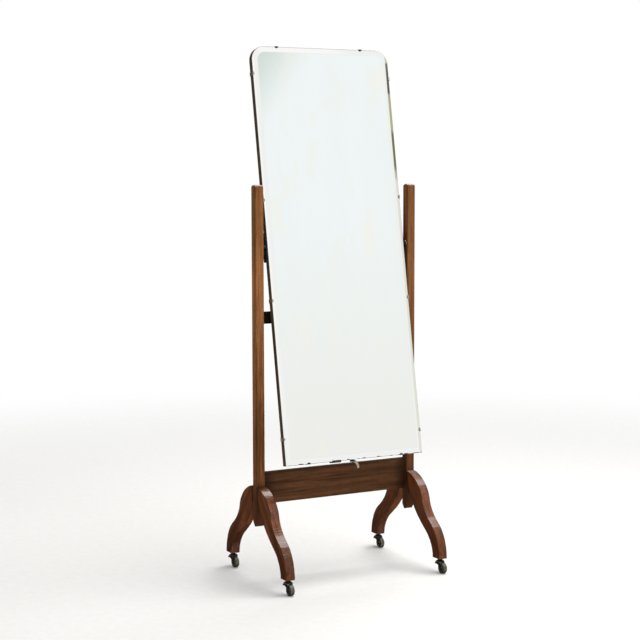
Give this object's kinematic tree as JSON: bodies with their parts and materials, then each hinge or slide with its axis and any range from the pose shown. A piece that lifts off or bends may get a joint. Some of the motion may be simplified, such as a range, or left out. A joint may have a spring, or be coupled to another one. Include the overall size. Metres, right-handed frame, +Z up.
{
  "type": "cheval floor mirror",
  "caption": "Cheval floor mirror: a tall bevelled plate on a backboard, tilting between plain wooden uprights on shaped legs with small swivel casters.",
  "frame": {"origin": "on the floor, midway between the four legs and below the tilt axis", "axes": "+X to the right seen from the front, -Y out of the mirror's face, +Z up"},
  "size_m": [0.5394, 0.4135, 1.5561],
  "materials": {
    "walnut": "stained brown with a worn satin varnish",
    "dark_walnut": "dark brown stain with a satin varnish",
    "black_stained_wood": "near-black stain, dull",
    "beech_dowel": "raw",
    "backboard_ply": "brown stained plywood, dull",
    "silvered_glass": "silvered plate with a polished bevel and old silvering",
    "aged_brass": "dulled",
    "fibre": "dark pressed fibre",
    "caster_iron": "dark, rubbed bright on the edges",
    "caster_wheel_metal": "darkened, worn bright on the tread",
    "dull_nickel": "dulled nickel plate",
    "dark_steel": "darkened steel"
  },
  "bodies": {
    "stand": {"left_upright": "walnut", "right_upright": "walnut", "bottom_stretcher": "dark_walnut", "rear_rail": "black_stained_wood", "left_front_leg": "walnut", "left_rear_leg": "walnut", "right_front_leg": "walnut", "right_rear_leg": "walnut", "leg_dowels": "beech_dowel", "left_pivot_bush": "aged_brass", "right_pivot_bush": "aged_brass", "left_front_caster_socket": "caster_iron", "left_rear_caster_socket": "caster_iron", "right_front_caster_socket": "caster_iron", "right_rear_caster_socket": "caster_iron"},
    "mirror": {"mirror_glass": "silvered_glass", "backboard": "backboard_ply", "pivot_batten": "black_stained_wood", "batten_screws": "dark_steel", "left_pivot_plate": "dark_steel", "right_pivot_plate": "dark_steel", "pivot_plate_screws": "dark_steel", "left_friction_washer": "fibre", "right_friction_washer": "fibre", "top_clips": "dark_steel", "left_clips": "dull_nickel", "right_clips": "dull_nickel", "bottom_clips": "dark_steel", "support_clip": "dark_steel", "clip_screws": "dull_nickel", "finger_pull": "dull_nickel", "finger_pull_screw": "dull_nickel"},
    "left_front_caster": {"left_front_caster_fork": "caster_iron", "left_front_caster_axle": "caster_iron"},
    "left_front_wheel": {"left_front_caster_wheel": "caster_wheel_metal"},
    "left_rear_caster": {"left_rear_caster_fork": "caster_iron", "left_rear_caster_axle": "caster_iron"},
    "left_rear_wheel": {"left_rear_caster_wheel": "caster_wheel_metal"},
    "right_front_caster": {"right_front_caster_fork": "caster_iron", "right_front_caster_axle": "caster_iron"},
    "right_front_wheel": {"right_front_caster_wheel": "caster_wheel_metal"},
    "right_rear_caster": {"right_rear_caster_fork": "caster_iron", "right_rear_caster_axle": "caster_iron"},
    "right_rear_wheel": {"right_rear_caster_wheel": "caster_wheel_metal"}
  },
  "joints": [
    {"name": "mirror_tilt", "type": "hinge", "parent": "stand", "child": "mirror", "pos_m": [0, 0, 0.975], "axis": [-1, 0, 0], "range_deg": [-8.2, 80]},
    {"name": "left_front_swivel", "type": "hinge", "parent": "stand", "child": "left_front_caster", "pos_m": [-0.2547, -0.182, 0.039], "axis": [0, 0, 1], "continuous": true},
    {"name": "left_front_roll", "type": "hinge", "parent": "left_front_caster", "child": "left_front_wheel", "pos_m": [-0.2547, -0.1975, 0.016], "axis": [1, 0, 0], "continuous": true},
    {"name": "left_rear_swivel", "type": "hinge", "parent": "stand", "child": "left_rear_caster", "pos_m": [-0.2547, 0.182, 0.039], "axis": [0, 0, 1], "continuous": true},
    {"name": "left_rear_roll", "type": "hinge", "parent": "left_rear_caster", "child": "left_rear_wheel", "pos_m": [-0.2547, 0.1665, 0.016], "axis": [1, 0, 0], "continuous": true},
    {"name": "right_front_swivel", "type": "hinge", "parent": "stand", "child": "right_front_caster", "pos_m": [0.2547, -0.182, 0.039], "axis": [0, 0, 1], "continuous": true},
    {"name": "right_front_roll", "type": "hinge", "parent": "right_front_caster", "child": "right_front_wheel", "pos_m": [0.2547, -0.1975, 0.016], "axis": [1, 0, 0], "continuous": true},
    {"name": "right_rear_swivel", "type": "hinge", "parent": "stand", "child": "right_rear_caster", "pos_m": [0.2547, 0.182, 0.039], "axis": [0, 0, 1], "continuous": true},
    {"name": "right_rear_roll", "type": "hinge", "parent": "right_rear_caster", "child": "right_rear_wheel", "pos_m": [0.2547, 0.1665, 0.016], "axis": [1, 0, 0], "continuous": true}
  ]
}
